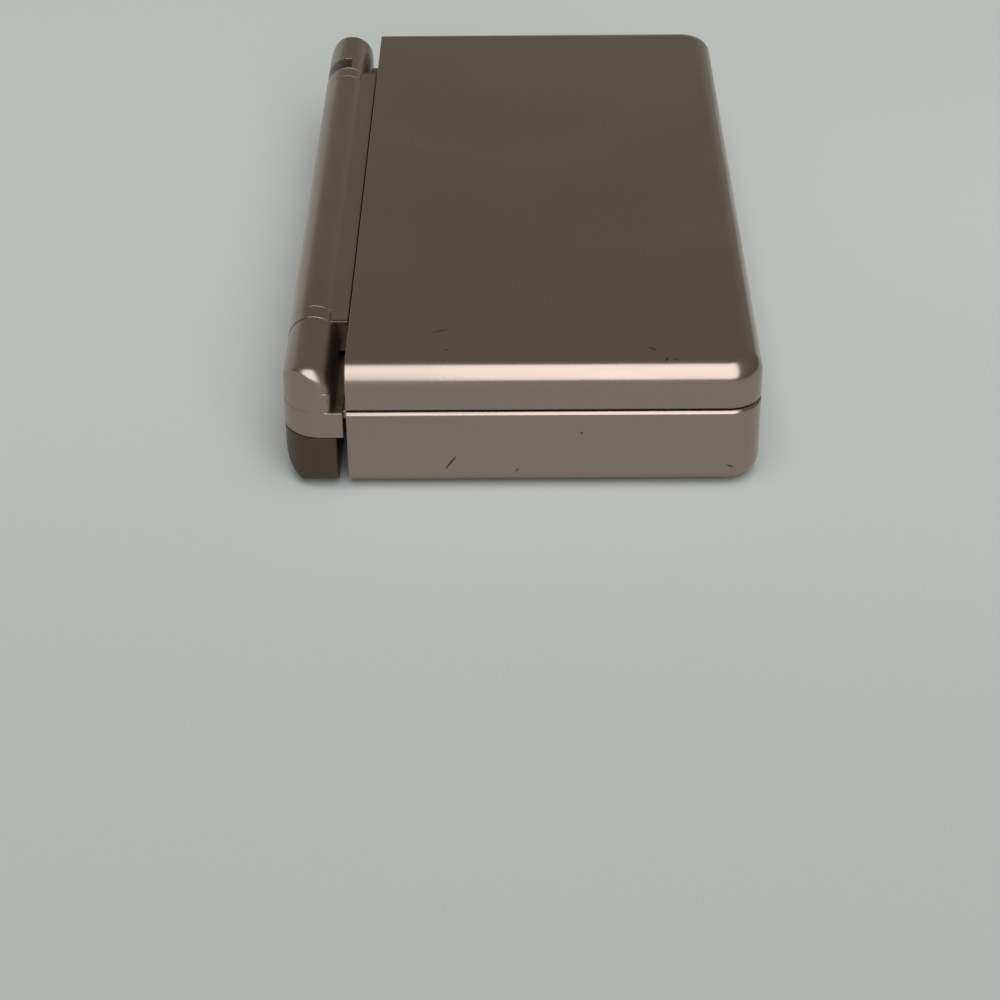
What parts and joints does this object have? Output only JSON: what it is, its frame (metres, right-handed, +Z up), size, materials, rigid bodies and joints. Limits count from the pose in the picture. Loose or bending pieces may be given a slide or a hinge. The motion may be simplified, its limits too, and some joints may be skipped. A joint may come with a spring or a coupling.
{
  "type": "clamshell handheld game console",
  "caption": "Clamshell handheld game console: a hinged lid with a screen over a base with a touch screen, thumb and shoulder buttons, stylus and card slots.",
  "frame": {"origin": "centre of the footprint, on the surface that the rubber feet stand on, lid closed", "axes": "+X along the hinge to the player's right, +Y from the front edge to the hinge, +Z up"},
  "size_m": [0.133, 0.0738, 0.0215],
  "materials": {
    "shell": "satin metallic rose-bronze paint on moulded plastic",
    "inner_shell": "satin metallic rose-bronze, a little duller than the outside",
    "collar": "satin metallic rose-bronze",
    "tinted_plastic": "smooth brown tinted plastic",
    "button_plastic": "satin brown plastic, bare, no letters",
    "smoked_window": "smoked lamp window",
    "screen": "clear screen over a dark display",
    "display": "display module",
    "rubber": "dark rubber",
    "silicone": "soft silicone",
    "black_plastic": "black moulded plastic",
    "board": "green circuit board",
    "module": "small blue circuit board with a shield can",
    "battery": "wrapped battery cell",
    "sheet_metal": "pressed tinned sheet",
    "screw": "small machine screws",
    "pin": "turned steel pin",
    "flex_cable": "rolled flexible printed cable"
  },
  "bodies": {
    "base": {"bottom_case": "shell", "top_case": "inner_shell", "battery_cover": "shell", "battery_cover_screw": "screw", "battery_pack": "battery", "case_screws": "screw", "rubber_feet": "rubber", "main_board": "board", "wireless_module": "module", "lower_display": "display", "touch_panel": "screen", "cartridge_guide": "black_plastic", "cartridge_contacts": "black_plastic", "card_socket": "sheet_metal", "charging_port": "black_plastic", "headphone_jack": "black_plastic", "button_membrane": "silicone", "led_window": "smoked_window", "shoulder_pins": "pin"},
    "lid": {"lid_cover": "shell", "lid_frame": "inner_shell", "hinge_collars": "collar", "hinge_pin": "pin", "hinge_clutch": "pin", "upper_display": "display", "upper_window": "screen", "speakers": "black_plastic", "microphone": "black_plastic", "lid_screws": "screw", "lid_bumpers": "rubber", "display_cable": "flex_cable"},
    "shoulder_left": {"shoulder_left": "tinted_plastic"},
    "shoulder_right": {"shoulder_right": "tinted_plastic"},
    "dpad": {"dpad": "button_plastic"},
    "dpad_rubber": {"dpad_rubber": "silicone"},
    "button_a": {"button_a": "button_plastic"},
    "button_b": {"button_b": "button_plastic"},
    "button_x": {"button_x": "button_plastic"},
    "button_y": {"button_y": "button_plastic"},
    "start_button": {"start_button": "button_plastic"},
    "select_button": {"select_button": "button_plastic"},
    "power_switch": {"power_switch": "tinted_plastic"},
    "volume_slider": {"volume_slider": "tinted_plastic"},
    "stylus": {"stylus": "tinted_plastic"},
    "slot_cover": {"slot_cover": "tinted_plastic"}
  },
  "joints": [
    {"name": "lid_hinge", "type": "hinge", "parent": "base", "child": "lid", "pos_m": [0, 0.03285, 0.017], "axis": [-1, 0, 0], "range_deg": [0, 155]},
    {"name": "dpad_tilt_fore_aft", "type": "hinge", "parent": "base", "child": "dpad_rubber", "pos_m": [-0.05, 0.00305, 0.0093], "axis": [1, 0, 0], "range_deg": [-3, 3], "stiffness_Nm_per_rad": 0.2},
    {"name": "dpad_tilt_side", "type": "hinge", "parent": "dpad_rubber", "child": "dpad", "pos_m": [-0.05, 0.00305, 0.0093], "axis": [0, 1, 0], "range_deg": [-3, 3], "stiffness_Nm_per_rad": 0.2},
    {"name": "button_a_press", "type": "slide", "parent": "base", "child": "button_a", "axis": [0, 0, -1], "range_m": [0, 0.0008], "stiffness_N_per_m": 400, "springref_m": -0.0012},
    {"name": "button_b_press", "type": "slide", "parent": "base", "child": "button_b", "axis": [0, 0, -1], "range_m": [0, 0.0008], "stiffness_N_per_m": 400, "springref_m": -0.0012},
    {"name": "button_x_press", "type": "slide", "parent": "base", "child": "button_x", "axis": [0, 0, -1], "range_m": [0, 0.0008], "stiffness_N_per_m": 400, "springref_m": -0.0012},
    {"name": "button_y_press", "type": "slide", "parent": "base", "child": "button_y", "axis": [0, 0, -1], "range_m": [0, 0.0008], "stiffness_N_per_m": 400, "springref_m": -0.0012},
    {"name": "start_press", "type": "slide", "parent": "base", "child": "start_button", "axis": [0, 0, -1], "range_m": [0, 0.0008], "stiffness_N_per_m": 400, "springref_m": -0.0012},
    {"name": "select_press", "type": "slide", "parent": "base", "child": "select_button", "axis": [0, 0, -1], "range_m": [0, 0.0008], "stiffness_N_per_m": 400, "springref_m": -0.0012},
    {"name": "shoulder_left_press", "type": "hinge", "parent": "base", "child": "shoulder_left", "pos_m": [-0.0477, 0.03155, 0.005], "axis": [0, 0, 1], "range_deg": [0, 3], "stiffness_Nm_per_rad": 0.25, "springref_deg": -2.86},
    {"name": "shoulder_right_press", "type": "hinge", "parent": "base", "child": "shoulder_right", "pos_m": [0.0477, 0.03155, 0.005], "axis": [0, 0, -1], "range_deg": [0, 3], "stiffness_Nm_per_rad": 0.25, "springref_deg": -2.86},
    {"name": "power_slide", "type": "slide", "parent": "base", "child": "power_switch", "axis": [0, 1, 0], "range_m": [0, 0.002], "stiffness_N_per_m": 250, "springref_m": -0.002},
    {"name": "volume_slide", "type": "slide", "parent": "base", "child": "volume_slider", "axis": [1, 0, 0], "range_m": [0, 0.005]},
    {"name": "stylus_pull", "type": "slide", "parent": "base", "child": "stylus", "axis": [1, 0, 0], "range_m": [0, 0.085]},
    {"name": "slot_cover_pull", "type": "slide", "parent": "base", "child": "slot_cover", "axis": [0, -1, 0], "range_m": [0, 0.024]}
  ]
}
